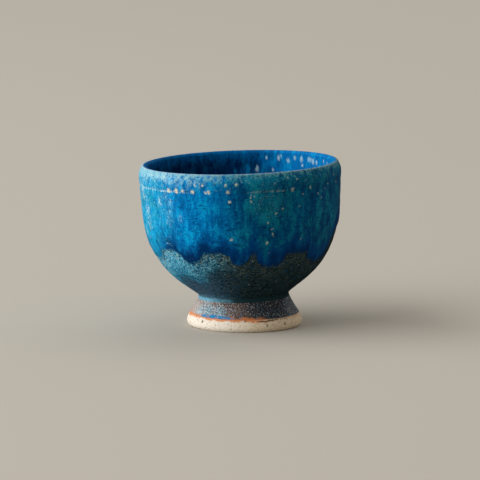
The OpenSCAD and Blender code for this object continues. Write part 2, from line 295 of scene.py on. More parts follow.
class Section:
    """The cup's section in the bowl's own frame, worked out from the driving sizes."""

    def __init__(self, scene):
        self.bowl = scene.cup_bowl
        self.foot = scene.cup_foot
        self.coats = scene.cup_coats
        self.draw_bowl()
        self.draw_coats()

    def draw_bowl(self):
        bowl = self.bowl
        seat = np.array((bowl.seat_d / 2, 0))
        shoulder = np.array((bowl.shoulder_d / 2, bowl.shoulder_z))
        crease = np.array((bowl.crease_d / 2, bowl.height - bowl.band_h))
        lip_r = bowl.lip_t / 2
        lip_centre = np.array((crease[0] - bowl.lip_turn_in - lip_r, bowl.height - lip_r))
        lip_side = np.array((lip_r, 0))
        up = ray(math.pi / 2)
        wall_way = ray(math.pi / 2 - bowl.shoulder_lean)
        third = (crease[1] - shoulder[1]) / 3
        inner_third = (lip_centre[1] - shoulder[1]) / 3
        swell = np.array((bowl.band_swell * 4 / 3, 0))
        turn_in = np.array((bowl.lip_turn_in / 3, 0))
        flank = curve(seat, seat + bowl.flank_pull * ray(bowl.flank_angle),
                      shoulder - bowl.shoulder_pull * wall_way, shoulder, LONG_STEPS)
        upright = curve(shoulder, shoulder + third * wall_way, crease - third * up, crease, WALL_STEPS)
        band = curve(crease, crease + swell + bowl.band_pull * up,
                     np.array((crease[0], lip_centre[1])) + swell - turn_in - bowl.band_pull / 2 * up,
                     lip_centre + lip_side, SHORT_STEPS)
        lip = arc(lip_centre, lip_r, 0, math.pi, SHORT_STEPS)
        inner_shoulder = shoulder - np.array((bowl.wall_t, 0))
        inner_wall = curve(lip_centre - lip_side, lip_centre - lip_side - inner_third * up,
                           inner_shoulder + inner_third * wall_way, inner_shoulder, SHORT_STEPS)
        basin = curve(inner_shoulder, inner_shoulder - bowl.inner_pull * wall_way,
                      np.array((bowl.floor_pull, bowl.floor_t)), np.array((0, bowl.floor_t)), LONG_STEPS)
        self.crease_z = crease[1]
        self.lip_z = lip_centre[1]
        self.outer = self.ringed(joined(flank, upright, band))
        self.inner = joined(inner_wall, basin)
        self.dressed = joined(self.outer, lip)

    def ringed(self, line):
        """The outer wall with the rings that the thrower's fingers leave, fading at both ends."""
        bowl = self.bowl
        height = line[:, 1]
        fade = blend(0, 1, height / bowl.shoulder_z) * blend(1, 0, (height - bowl.shoulder_z) / bowl.band_h)
        ripple = bowl.ring_depth * fade * (np.sin(height * math.tau / bowl.ring_pitch) - 1)
        return line + np.stack((ripple, np.zeros_like(ripple)), 1)

    def draw_coats(self):
        bowl, coats = self.bowl, self.coats
        self.seat_coat = np.array((bowl.seat_d / 2 + coats.base_t / math.sin(bowl.flank_angle), 0))
        self.base_coat = moved_out(self.dressed, coats.base_t)
        self.base_coat[0] = self.seat_coat
        self.bed = self.base_coat[:len(self.outer)]
        edge = coats.run_line_z + np.array(EDGE_ROWS) * MM
        height = np.concatenate((edge, self.bed[self.bed[:, 1] > edge[-1] + MM / 2, 1]))
        self.top_bed = np.stack((np.interp(height, self.bed[:, 1], self.bed[:, 0]), height), 1)
        wall_t = blend(coats.base_t, coats.liner_t, (self.lip_z - self.inner[:, 1]) / bowl.band_h)
        liner_t = blend(wall_t, coats.pool_t, 1 - 2 * self.inner[:, 0] / coats.pool_d)
        self.liner_coat = moved_out(self.inner, liner_t)
        self.liner_coat[-1] = (0, bowl.floor_t + coats.pool_t)

    def top_coat_t(self, height, above):
        """Thickness of the top coat at heights in the bowl, and so far above its lower edge."""
        coats = self.coats
        share = (self.crease_z - height) / (self.crease_z - coats.run_line_z)
        full = blend(coats.top_lip_t, coats.top_run_t, share)
        rounding = np.sqrt(1 - (1 - np.clip(above / coats.edge_round, BLUNT_END, 1)) ** 2)
        thinning = blend(1, LIP_SHARE, 1 - (self.lip_z - height) / coats.edge_round)
        return full * rounding * thinning

    def outer_radius(self, height):
        """Radius of the base coat's outside at a height above the joint."""
        return float(np.interp(height, self.bed[:, 1], self.bed[:, 0]))

    def foot_outside(self, coat=0):
        """The foot's outside from the resting ring to the joint, moved out by a coat."""
        foot = self.foot
        rest = np.array((foot.heel_d / 2 - foot.heel_round, 0))
        heel = np.array((foot.heel_d / 2 + coat, foot.heel_z))
        neck = np.array((foot.neck_d / 2 + coat, self.bowl.joint_z))
        under = curve(rest, np.array(((rest[0] + heel[0]) / 2, 0)),
                      heel - np.array((0, foot.heel_z / 2)), heel, HEEL_STEPS)
        flare = curve(heel, heel + np.array((0, foot.heel_pull)),
                      neck - foot.neck_pull * ray(math.pi / 2 + foot.neck_flare), neck, FLARE_STEPS)
        return joined(under, flare)


# Modelling moves, as by hand

def start_piece(name):
    """A new piece, in edit mode, that is one vertex at the origin."""
    bpy.ops.object.select_all(action="DESELECT")
    bpy.ops.mesh.primitive_plane_add(size=MM, enter_editmode=True)
    bpy.ops.mesh.select_all(action="SELECT")
    bpy.ops.mesh.merge(type="CENTER")
    piece = bpy.context.object
    piece.name = name
    piece.data.name = name
    return piece


def draw_section(points, closed=False):
    """Extrude the piece's vertex along a line in the XZ plane, and join its ends if it is closed."""
    steps = [Vector((r, 0, z)) for r, z in points]
    bpy.ops.transform.translate(value=steps[0])
    for here, there in zip(steps, steps[1:]):
        bpy.ops.mesh.extrude_region_move(TRANSFORM_OT_translate={"value": there - here})
    if closed:
        bpy.ops.mesh.extrude_region_move(TRANSFORM_OT_translate={"value": steps[0] - steps[-1]})


def spin_section():
    """Turn the drawn section round the Z axis, and close its seam and pole."""
    bpy.ops.mesh.select_all(action="SELECT")
    bpy.ops.mesh.spin(steps=SPIN_STEPS, angle=math.tau, center=(0, 0, 0), axis=(0, 0, 1))
    bpy.ops.mesh.select_all(action="SELECT")
    bpy.ops.mesh.remove_doubles(threshold=WELD)
    bpy.ops.mesh.normals_make_consistent(inside=False)
    bpy.ops.object.mode_set(mode="OBJECT")


def thrown(name, points, closed=False):
    """A piece turned from its section."""
    piece = start_piece(name)
    draw_section(points, closed)
    spin_section()
    return piece


def finish_with(piece, kind, **settings):
    """Add a modifier with these settings and apply it."""
    modifier = piece.modifiers.new(kind.title(), kind)
    for name, value in settings.items():
        setattr(modifier, name, value)
    bpy.ops.object.modifier_apply(modifier=modifier.name)


def swells(name, size):
    """Soft clouds that push a piece out of true, the same for every piece that shares them."""
    clouds = bpy.data.textures.get(name)
    if clouds is None:
        clouds = bpy.data.textures.new(name, "CLOUDS")
        clouds.noise_scale = size
        clouds.noise_depth = 1
    return clouds


def set_on_foot(piece, bowl):
    """Give a piece of the bowl its share of the swells, so that the coats stay nested, and its lean."""
    for way, size in (("X", bowl.wobble_x), ("Y", bowl.wobble_y)):
        finish_with(piece, "DISPLACE", texture=swells("thrown swells " + way, size), texture_coords="LOCAL",
                    direction=way, mid_level=0.5, strength=bowl.wobble)
    lean(piece, bowl)


def bowl_place(bowl):
    """Place and turn of the bowl's frame."""
    return Vector((bowl.shift, 0, bowl.joint_z)), Euler((-bowl.lean_back, -bowl.lean_left, 0))


def lean(piece, bowl):
    """Set a piece leaning on the foot, with its place in its mesh."""
    piece.location, piece.rotation_euler = bowl_place(bowl)
    bpy.ops.object.transform_apply(location=True, rotation=True, scale=True)


def points_of(piece):
    """The piece's vertices as an array."""
    flat = np.empty(len(piece.data.vertices) * 3)
    piece.data.vertices.foreach_get("co", flat)
    return flat.reshape(-1, 3)


def settle(piece, line):
    """Set each vertex of a turned sheet back on its line of the section, at its own height and azimuth."""
    at = points_of(piece)
    wanted = np.interp(at[:, 2], line[:, 1], line[:, 0])
    at[:, :2] *= (wanted / np.hypot(at[:, 0], at[:, 1]))[:, None]
    piece.data.vertices.foreach_set("co", at.ravel())
    piece.data.update()


def mark(piece, name, values):
    """Keep a number for each vertex, for the material to read."""
    piece.data.attributes.new(name, "FLOAT", "POINT").data.foreach_set("value", np.asarray(values, "f"))


def weigh(piece, name, weights):
    """A vertex group with a weight for each vertex."""
    group = piece.vertex_groups.new(name=name)
    for i, weight in enumerate(weights):
        group.add([i], float(weight), "REPLACE")


def edge_of(mesh):
    """Vertices of a turned sheet's lower edge."""
    middle = sum(v.co.z for v in mesh.verts) / len(mesh.verts)
    return [v for v in mesh.verts if v.is_boundary and v.co.z < middle]


def lower_rim(piece):
    """Azimuths and heights of a turned sheet's lower edge, in order round it."""
    mesh = bmesh.new()
    mesh.from_mesh(piece.data)
    rim = sorted((math.atan2(v.co.y, v.co.x), v.co.z) for v in edge_of(mesh))
    mesh.free()
    return np.array(rim).T


def rim_height(rim, at):
    """Height of the lower edge at the azimuth of each point."""
    return np.interp(np.arctan2(at[:, 1], at[:, 0]), rim[0], rim[1], period=math.tau)


def pull_edge(piece, azimuth, reach, drop, slope):
    """Pull a sheet's lower edge down its wall at an azimuth, or up by a negative drop, over a reach."""
    mesh = bmesh.from_edit_mesh(piece.data)
    out = Vector((math.cos(azimuth), math.sin(azimuth), 0))
    for part in (*mesh.verts, *mesh.edges, *mesh.faces):
        part.select = False
    max(edge_of(mesh), key=lambda v: v.co.xy.normalized().dot(out.xy)).select = True
    bmesh.update_edit_mesh(piece.data)
    bpy.ops.transform.translate(
        value=(Vector((0, 0, 1)) + out * slope) * -drop, use_proportional_edit=True,
        proportional_edit_falloff="SPHERE", proportional_size=reach, use_proportional_connected=True)


def let_run(piece, bed):
    """Pull the top coat's lower edge into its runs, and push it up into the bays between them."""
    slope = float((bed[-1, 0] - bed[0, 0]) / (bed[-1, 1] - bed[0, 1]))
    radius = bed[0, 0]
    halves = [math.asin(width * MM / 2 / radius) for _, width, _, _ in RUNS]
    bpy.ops.object.mode_set(mode="EDIT")
    for i, (azimuth, _, _, rise) in enumerate(RUNS):
        here = math.radians(azimuth)
        after = (i + 1) % len(RUNS)
        there = math.radians(RUNS[after][0]) + (math.tau if after == 0 else 0)
        start, end = here + halves[i], there - halves[after]
        gap = 2 * radius * math.sin((end - start) / 2)
        pull_edge(piece, (start + end) / 2, gap / 2 * (1 + BAY_SPREAD), -rise * MM, slope)
    for azimuth, width, drop, _ in RUNS:
        pull_edge(piece, math.radians(azimuth), width / 2 * MM, drop * MM, slope)
    bpy.ops.object.mode_set(mode="OBJECT")


def make_active(piece):
    """Select one piece and no other."""
    bpy.ops.object.select_all(action="DESELECT")
    piece.select_set(True)
    bpy.context.view_layer.objects.active = piece


def run_sheet(section):
    """The top coat as a sheet on the base coat whose lower edge has run, made when first needed."""
    sheet = bpy.data.objects.get("top_coat")
    if sheet is not None:
        make_active(sheet)
        return sheet
    coats = section.coats
    sheet = thrown("top_coat", section.top_bed)
    let_run(sheet, section.top_bed)
    at = points_of(sheet)
    weigh(sheet, "edge", blend(1, 0, (at[:, 2] - rim_height(lower_rim(sheet), at)) / (3 * coats.ragged)))
    finish_with(sheet, "DISPLACE", texture=swells("ragged edge", coats.ragged_size),
                texture_coords="LOCAL", direction="Z", mid_level=0.5, strength=2 * coats.ragged,
                vertex_group="edge")
    settle(sheet, section.bed)
    return sheet


def hand_over(piece, node, material):
    """Give a finished piece its material and its place in the frame."""
    bpy.ops.object.shade_smooth_by_angle(angle=SMOOTH_BELOW)
    piece.data.materials.clear()
    piece.data.materials.append(material)
    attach(piece, BODY)
    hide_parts(node)


# Shaders

# Low refraction, so that the satin glazes don't shine at their limbs
GLAZE_IOR = 1.3
# Gloss of the glazes on the bowl, tinted by the glass that the light comes back through
GLAZE_GLOSS = 0.1
GLOSS_TINT = (0.03, 0.5, 1.0)
# Shares of a spot's and of a fleck's radius within which it is at its full strength
SPOT_CORE, FLECK_CORE = 0.15, 0.45
# Steps over which a cell comes to have a fleck, and over which a dense cloud comes to be a speck
CHANCE_STEP, SPECK_STEP = 0.05, 0.07
# Radii in millimetres: of the wall that streaks are drawn round, of the lip where the liner's blue turns
# into the wall's, and of the worn line there
WALL_R, LIP_LINER_R, LIP_WALL_R, LIP_EDGE_R = 34, 34.0, 34.3, 34.25
# The same for the foot: of its glaze, of its clay, and those between which its hollow turns into its outside
SKIM_R, CLAY_R, HOLLOW_R, OUTSIDE_R = 17, 19, 14.6, 15
# Heights above the joint, in millimetres, between which the base coat turns into the lip's blues
LIP_FROM_Z, LIP_FULL_Z = 43.5, 44.2
# Heights between which the liner's streaks come out of the glaze that pools on the floor
POOL_Z, STREAKS_Z = 16, 33


class Value:
    """A socket of a material, for sums in Python that add their Math nodes."""

    def __init__(self, nodes, socket):
        self.nodes = nodes
        self.socket = socket

    def maths(self, operation, *values):
        return self.nodes.add("Math", {"operation": operation}, dict(enumerate(values)))

    def __add__(self, other):
        return self.maths("ADD", self, other)

    __radd__ = __add__

    def __sub__(self, other):
        return self.maths("SUBTRACT", self, other)

    def __rsub__(self, other):
        return self.maths("SUBTRACT", other, self)

    def __mul__(self, other):
        return self.maths("MULTIPLY", self, other)

    __rmul__ = __mul__

    def __truediv__(self, other):
        return self.maths("DIVIDE", self, other)

    def __pow__(self, other):
        return self.maths("POWER", self, other)

    def __abs__(self):
        return self.maths("ABSOLUTE", self)

    def or_more(self, other):
        """The larger of two values."""
        return self.maths("MAXIMUM", self, other)

    def sway(self, reach=1.0):
        """A cloud's push either way, so far in all."""
        return (self - 0.5) * reach

    def smooth(self, low, high):
        """0 at low, 1 at high and a smooth step between, either way round."""
        return self.nodes.add("MapRange", {"interpolation_type": "SMOOTHSTEP"},
                              {"Value": self, "From Min": low, "From Max": high})


class Nodes:
    """The nodes of one material, or of the room's light."""

    def __init__(self, owner):
        owner.use_nodes = True
        self.owner = owner
        self.tree = owner.node_tree

    @classmethod
    def of_finish(cls, name):
        """The nodes of a new material."""
        return cls(bpy.data.materials.new(name))

    def own(self, name):
        """A node that the material or the room's light starts with."""
        return self.tree.nodes[name]

    def add(self, kind, settings=None, sockets=None, out=0):
        """A node of this type with its settings and its sockets' values or links; gives one output."""
        node = self.tree.nodes.new("ShaderNode" + kind)
        for name, value in (settings or {}).items():
            setattr(node, name, value)
        for key, value in (sockets or {}).items():
            self.plug(node.inputs[key], value)
        return Value(self, node.outputs[out])

    def plug(self, socket, value):
        """Link a socket to a value of the material, or set it to a number, colour or vector."""
        if isinstance(value, Value):
            self.tree.links.new(value.socket, socket)
        elif socket.type == "RGBA":
            socket.default_value = (*value, 1)
        else:
            socket.default_value = value

    def mix(self, share, first, second):
        """A colour between two, by a share."""
        return self.add("Mix", {"data_type": "RGBA"}, {0: share, 6: first, 7: second}, out=2)

    def vectors(self, operation, *values, out=0):
        """A sum of vectors."""
        return self.add("VectorMath", {"operation": operation}, dict(enumerate(values)), out)

    def shaded(self, colour, by):
        """A colour made lighter or darker by a value."""
        return self.add("VectorMath", {"operation": "SCALE"}, {0: colour, "Scale": by})

    def scaled(self, vector, by):
        """A vector stretched along each axis."""
        return self.vectors("MULTIPLY", vector, by)

    def wrapped(self, vector):
        """A vector moved out to a round wall, so that what is drawn there runs straight down the bowl."""
        outwards = self.vectors("NORMALIZE", self.scaled(vector, (1, 1, 0)))
        return self.vectors("ADD", self.scaled(outwards, (WALL_R,) * 3), self.scaled(vector, (0, 0, 1)))

    def parts(self, vector):
        """The three numbers of a vector."""
        split = self.add("SeparateXYZ", {}, {0: vector}).socket.node
        return [Value(self, out) for out in split.outputs]

    def from_axis(self, vector):
        """Distance of a vector from the upright axis."""
        x, y, _ = self.parts(vector)
        return (x * x + y * y) ** 0.5

    def noise(self, vector, scale, detail=2.0, roughness=0.5):
        """Soft clouds, around a half."""
        return self.add("TexNoise", {}, {
            "Vector": vector, "Scale": scale, "Detail": detail, "Roughness": roughness}, out="Fac")

    def ruffled(self, vector, scale, reach):
        """A vector pushed about by soft clouds, so that what is drawn there isn't regular."""
        clouds = self.add("TexNoise", {}, {"Vector": vector, "Scale": scale, "Detail": 2.0}, out="Color")
        push = self.scaled(self.vectors("SUBTRACT", clouds, (0.5,) * 3), (reach,) * 3)
        return self.vectors("ADD", vector, push)

    def cracks(self, vector, scale):
        """Distance from the borders between scattered cells."""
        return self.add("TexVoronoi", {"feature": "DISTANCE_TO_EDGE"}, {"Vector": vector, "Scale": scale})

    def flecks(self, vector, scale, size, share):
        """Scattered spots: their density, their size within a cell, and the share of cells that have one."""
        spots = self.add("TexVoronoi", {}, {"Vector": vector, "Scale": scale}, out="Distance")
        chance = Value(self, spots.socket.node.outputs["Color"])
        chosen = self.parts(chance)[0].smooth(1 - share, 1 - share + CHANCE_STEP)
        return spots.smooth(size, size * FLECK_CORE) * chosen

    def specks(self, vector, scale, level):
        """Irregular specks, where fine clouds are denser than a level."""
        return self.noise(vector, scale, 1.5).smooth(level, level + SPECK_STEP)

    def spots(self, vector, places):
        """Spots at given places, each a point and a radius."""
        mask = None
        for place, radius in places:
            spot = self.vectors("DISTANCE", vector, place, out="Value").smooth(radius, radius * SPOT_CORE)
            mask = spot if mask is None else mask.or_more(spot)
        return mask

    def frame(self, place=(0, 0, 0), turn=(0, 0, 0)):
        """Millimetres in a frame of the cup's."""
        coordinates = self.add("TexCoord", out="Object")
        return self.add("Mapping", {"vector_type": "TEXTURE"}, {
            "Vector": coordinates, "Location": place, "Rotation": turn, "Scale": (MM, MM, MM)})

    def vertex_number(self, name):
        """A number kept on the piece's vertices."""
        return self.add("Attribute", {"attribute_name": name}, out="Fac")

    def finish(self, colour, roughness, relief=None, depth=0.0, gloss=0.5, tint=(1, 1, 1)):
        """Set the surface's colour, roughness and relief, whose full depth is in millimetres."""
        sockets = self.own("Principled BSDF").inputs
        self.plug(sockets["Base Color"], colour)
        self.plug(sockets["Roughness"], roughness)
        sockets["IOR"].default_value = GLAZE_IOR
        sockets["Specular IOR Level"].default_value = gloss
        sockets["Specular Tint"].default_value = (*tint, 1)
        if relief is not None:
            self.plug(sockets["Normal"], self.add(
                "Bump", {}, {"Strength": 1.0, "Distance": depth * MM, "Height": relief}, out="Normal"))
        return self.owner


# Cream spots of the top coat, from burst bubbles: azimuth in degrees from +X, height above the joint
# and radius in millimetres. The first nine sit in the crease under the lip band, the next eight on the
# band and the rest from the crease down. Their torn edges are drawn wider by the spread.
BUBBLE_SPREAD = 1.1
BUBBLES = (
    (-134.2, 40.2, 1.15), (-128.5, 40.3, 1.15), (-124.2, 40.4, 0.85), (-117.5, 40.2, 0.95),
    (-109.8, 40, 0.7), (-108, 40.2, 0.9), (-96.8, 40.3, 0.8), (-59, 39.9, 0.8), (-46.5, 39.9, 0.7),
    (-116, 42.6, 0.5), (-111.5, 42.6, 0.6), (-98, 42.7, 0.6), (-92, 42.8, 0.7), (-70, 42.6, 0.45),
    (-62, 44.1, 0.5), (-56, 43.4, 0.55), (-23, 42.6, 0.5), (-19, 39.7, 0.6), (-96, 36.7, 0.6),
    (-96, 23.4, 0.75), (-84.2, 39, 0.4), (-84.2, 38, 0.45), (-84.2, 36.7, 0.5), (-82, 38.4, 0.35),
    (-79.5, 35.5, 0.4), (-69.5, 32, 0.6), (-65.5, 33.5, 0.55), (-74.5, 28.9, 0.6), (-71.8, 26.6, 0.55),
    (-71.5, 25, 0.6), (-71, 24.2, 0.4), (-75, 21.7, 0.7), (-73, 17.9, 0.4), (-54.5, 33.7, 0.45),
    (-52.5, 22.1, 0.5), (-52, 37.9, 0.45), (-45, 16.9, 0.4), (-40, 37.2, 0.45), (-37, 35.6, 0.4),
    (-36.5, 37.9, 0.35), (-33.5, 38.7, 0.35), (-30.5, 39.9, 0.3))
# Clusters of pale crystals on the weather side, in the same way. Their heights are scaled by the stretch,
# as those of the liner's flecks are, so that they are taller than wide.
CLUSTER_STRETCH = 0.6
CLUSTERS = (
    (-165, 38, 3.2), (-158.5, 32, 3.4), (-157, 28, 3), (-165, 24, 2), (-143, 36, 2.4),
    (-137.5, 38, 1.6), (-134, 35, 2.2), (-135.5, 31, 2.8), (-127, 30.5, 1.6), (-188, 33, 3.5),
    (-200, 37, 3), (-214, 31, 3))
# Places above the runs where the top coat has gathered thick and dark, in the same way
GATHERED = (
    (-138, 19.5, 5), (-125, 17, 6), (-112, 19.5, 5), (-92, 18, 4), (-70, 17, 5), (-48, 18, 5))
# Pale flecks of the liner, in the same way
FLECKS = (
    (65, 43.5, 0.9), (63, 44, 0.6), (58, 42.8, 0.9), (53, 44, 0.8), (47.5, 43.6, 1), (41, 43.9, 0.9),
    (39, 43.4, 0.7), (36.8, 43.1, 0.9), (33, 42.9, 0.8), (24, 43.7, 0.8), (18.5, 43.4, 0.7),
    (73, 43.6, 0.6), (79, 39.7, 0.9), (68.5, 39.3, 0.6), (46.5, 41.4, 0.5))
# Dark dashes of the top coat, in the same way. Their heights are scaled by the stretch, as those of the
# blue lakes on the foot are, so that they are wider than tall.
DASH_STRETCH = 2.4
DASHES = (
    (-141.5, 23, 0.9), (-140, 25.5, 0.9), (-139, 32.6, 0.7), (-118, 29.5, 0.8), (-116, 30.9, 1),
    (-113, 35.7, 0.9), (-113, 23.6, 1.1), (-111, 34.4, 0.9), (-105, 38.3, 0.7), (-105, 29, 0.8),
    (-103, 24.5, 0.9), (-98.3, 28.5, 1), (-98, 26.7, 1.1), (-96.5, 26.7, 0.9), (-96, 35.9, 1.2),
    (-94, 25, 1.1), (-93, 33.1, 0.9), (-87, 38.1, 1), (-82, 23, 1), (-80.5, 24.7, 1),
    (-76.5, 27.1, 0.9), (-66, 30.7, 0.9), (-65, 41.3, 0.7), (-65, 40.6, 1), (-64.6, 39.9, 1),
    (-65, 39.2, 1), (-53, 24, 1), (-51, 24.3, 1.2), (-46, 30.9, 0.9), (-40, 28.9, 1), (-31.5, 25.3, 1),
    (-29, 25.4, 0.9))
# The green cloud on the top coat's front and the stipple in it, in the same way
GREEN_CLOUD = ((-73, 36, 13.5),)
STIPPLE = ((-74, 36, 9.0),)
# Marks on the foot, as points and radii in millimetres: blooms and lakes in its glaze, iron in its clay
BLOOMS = (((-15.4, -9, 6), 4), ((-13.2, -12, 6.4), 4.4), ((-8.8, -15.6, 6.2), 3.8))
LAKES = (
    ((-14, -12.6, 4.8), 2.6), ((-11.4, -15, 4.9), 3.2), ((-8.2, -16.9, 4.9), 2.8), ((-5.4, -18, 4.8), 2.0))
IRON_SPECKS = (
    ((8, -18.5, 2.4), 0.6), ((14.2, -14.3, 2.4), 0.75), ((-14.8, -13.4, 3), 0.8), ((0.2, -19.3, 4), 0.6))


def bowl_frame(nodes, bowl):
    """Millimetres in the bowl's own frame, and the wall's side, from -1 on the left to 1 on the right."""
    place, turn = bowl_place(bowl)
    point = nodes.frame(place, turn)
    x, _, z = nodes.parts(point)
    return point, x / (bowl.crease_d / 2 / MM), z


def placed(marks, radius_at, stretch):
    """Points, in millimetres in a frame stretched upwards, and radii of marks on a round wall."""
    points = []
    for azimuth, height, size in marks:
        radius, turn = radius_at(height * MM) / MM, math.radians(azimuth)
        points.append(((radius * math.cos(turn), radius * math.sin(turn), height * stretch), size))
    return points


def on_wall(section, marks, stretch=1.0):
    """Marks on the top coat's outside."""
    return placed(marks, lambda height: section.outer_radius(height) + section.coats.top_lip_t, stretch)


def on_liner(section, marks, stretch=1.0):
    """Marks on the liner."""
    line = section.liner_coat[::-1]
    return placed(marks, lambda height: np.interp(height, line[:, 1], line[:, 0]), stretch)


def glaze_clouds(nodes, point):
    """The clouds that the blue glazes are made of: streaks, hairs, strokes, broad patches and grain."""
    down = nodes.wrapped(point)
    streak = nodes.noise(nodes.scaled(down, (1, 1, 0.45)), 0.4, 3, 0.65)
    hair = nodes.noise(nodes.scaled(down, (1, 1, 0.35)), 1.0, 2, 0.6)
    stroke = nodes.noise(nodes.scaled(down, (0.35, 0.35, 1.3)), 0.8, 3, 0.6)
    patch = nodes.noise(nodes.scaled(point, (1, 1, 0.7)), 0.11, 3)
    grain = nodes.noise(point, 1.9, 3, 0.65)
    return streak, hair, stroke, patch, grain


def wall_glaze(nodes, section, clouds, point, side, height, blues):
    """Colour of the blue glaze on the wall and thin on the lip band, from sky blue to deep blue."""
    streak, hair, stroke, patch, grain = clouds
    left = (side + patch.sway(0.5)).smooth(-0.35, -0.9)
    # Partly painted light: toward the window the ground is a paler sky blue, partly a painted sheen. On the
    # shadowed side it is a deeper blue with teal streaks, partly painted shade. The rest is the glaze's own
    # tone.
    shadowed = side.smooth(-0.45, 0.2)
    ground = nodes.mix((side + patch.sway(0.4)).smooth(-1.0, -0.55), blues.sky, blues.cobalt)
    ground = nodes.mix((shadowed + patch.sway(0.5)).smooth(0.1, 0.9), ground, blues.deep)
    lighter = nodes.mix(shadowed, blues.azure, blues.teal)
    glaze = nodes.mix((streak * 0.7 + grain * 0.3).smooth(0.43, 0.62) * 0.85, ground, lighter)
    green = nodes.spots(point, on_wall(section, GREEN_CLOUD)) + streak.sway(1.6) + grain.sway()
    glaze = nodes.mix(green.smooth(0.15, 0.9) * 0.65, glaze, blues.teal)
    glaze = nodes.shaded(glaze, streak * 1.5 + patch * 0.7 + stroke * 0.8 + hair * 0.6 + grain * 1.4 - 1.5)
    dark = (stroke * 0.8 + grain * 0.2).smooth(0.555, 0.62) * (0.6 + patch.smooth(0.42, 0.6) * 0.4)
    glaze = nodes.mix(dark * (0.7 - left * 0.3), glaze, blues.navy)
    glaze = nodes.mix(hair.smooth(0.47, 0.36) * (0.2 + left * 0.5), glaze, blues.cobalt)
    high = left * left * (height + patch.sway(20)).smooth(22, 34)
    glaze = nodes.mix(hair.smooth(0.56, 0.68) * grain.smooth(0.4, 0.55) * high * 0.5, glaze, blues.pale)
    blotch = nodes.noise(nodes.scaled(point, (1, 1, 0.8)), 0.6, 2, 0.6)
    # Painted shade: the lip band's thin glaze is pale toward the window and dim on the shadowed side. Its
    # worn edge turns from pale to the darker worn blue the same way, partly painted shade.
    shade = (side + grain.sway(0.5)).smooth(-0.85, 0.0)
    thin = (height + grain.sway(8) + hair.sway(6) + blotch.sway(5)).smooth(40.8, 46.5)
    veil = (hair * 0.2 + grain * 0.35 + blotch * 0.45).smooth(0.44, 0.56)
    glaze = nodes.mix(thin * (0.1 + veil * 0.85), glaze, nodes.mix(shade, blues.pale, blues.dim))
    worn = (height + grain.sway(4) + blotch.sway(5) + left * 1.1 - shadowed * 0.6).smooth(43.8, 46.2)
    worn = worn * (0.25 + (grain * 0.6 + hair * 0.4).smooth(0.4, 0.58) * 0.65)
    return nodes.mix(worn, glaze, nodes.mix(side.smooth(-0.85, 0.1), blues.pale, blues.worn))


def liner_glaze(nodes, clouds, side, height, blues):
    """Colour of the liner, with painted light: bright where the window lights the inner wall, painted shade
    where the wall faces away, and dark where the liner pools on the floor.
    """
    streak, hair, _, patch, grain = clouds
    # Painted light and shade: the liner is bright blue on the inner wall that faces the window. On the wall
    # that faces away it falls to the pool's dark blue as painted shade.
    bright = (side + patch.sway(0.9) + streak.sway(0.4)).smooth(-0.2, 0.55)
    ground = nodes.mix(bright, blues.pool, blues.liner)
    glaze = nodes.mix(streak.smooth(0.44, 0.66) * (0.12 + bright * 0.5), ground, blues.azure)
    thin = (height + grain.sway(5) + hair.sway(5)).smooth(41.5, 46)
    glaze = nodes.mix(thin * (1 - bright) * 0.6, glaze, blues.cobalt)
    glaze = nodes.shaded(glaze, streak * 0.8 + hair * 0.5 + grain * 0.7)
    return nodes.mix((height + patch.sway(14)).smooth(26, 9) * 0.9, glaze, blues.pool), bright


def web_glaze(nodes, clouds, point, side, height, below, darks):
    """Base coat's colour by the depth below the runs: blue mottle under a pale web, then charcoal."""
    grain = clouds[-1]
    mottle = nodes.noise(point, 0.5, 4, 0.65)
    coarse = nodes.noise(point, 1.2, 3, 0.65)
    brushed = nodes.noise(nodes.scaled(point, (0.6, 0.6, 1.9)), 1.5, 2, 0.7)
    left = (side + mottle.sway(0.3)).smooth(-0.02, -0.8)
    sparser = side.smooth(-0.95, -0.3)
    depth = (below + mottle.sway(9)) / (0.5 + left * 0.5)
    ground = nodes.mix(side.smooth(0.1, -0.6) * height.smooth(14, 4), darks.charcoal, darks.slate)
    # Painted highlight: just above the neck, on the side toward the window, the base coat takes the neck
    # roll's pale blue.
    neck = (height + grain.sway(2)).smooth(2, 0) * side.smooth(0, -0.35)
    ground = nodes.mix(neck * 0.45, ground, darks.roll)
    ground = nodes.mix(mottle.smooth(0.5, 0.66) * 0.3, ground, darks.ink)
    ground = nodes.mix(brushed.smooth(0.5, 0.6) * 0.45, ground, darks.earth)
    ground = nodes.shaded(ground, 0.25 + brushed.smooth(0.35, 0.6) * 1.2 + grain.sway(2.6))
    mottled = nodes.mix((coarse * 0.7 + grain * 0.3).smooth(0.43, 0.55), darks.ink, darks.turquoise)
    glaze = nodes.mix(left * depth.smooth(14, 6), ground, mottled)
    worm = abs(nodes.noise(nodes.ruffled(nodes.scaled(point, (1, 1, 1.2)), 0.8, 1.2), 1.0, 1.5) - 0.5)
    fine = nodes.cracks(nodes.ruffled(point, 0.8, 1.5), 1.1).smooth(0.16, 0.06)
    net = (worm + sparser * 0.012).smooth(0.05, 0.02).or_more(fine * 0.4)
    net = net * (coarse * 0.6 + grain * 0.4 - sparser * 0.04).smooth(0.42, 0.5) * depth.smooth(12, 3)
    close = (below + grain.sway(6)).smooth(5, 1) * mottle.smooth(0.42, 0.58)
    crystal = nodes.mix(close, darks.web, darks.tan)
    crystal = nodes.mix(side.smooth(-0.35, 0.1), crystal, darks.haze)
    return nodes.mix(net * (0.78 - sparser * 0.08), glaze, crystal), net


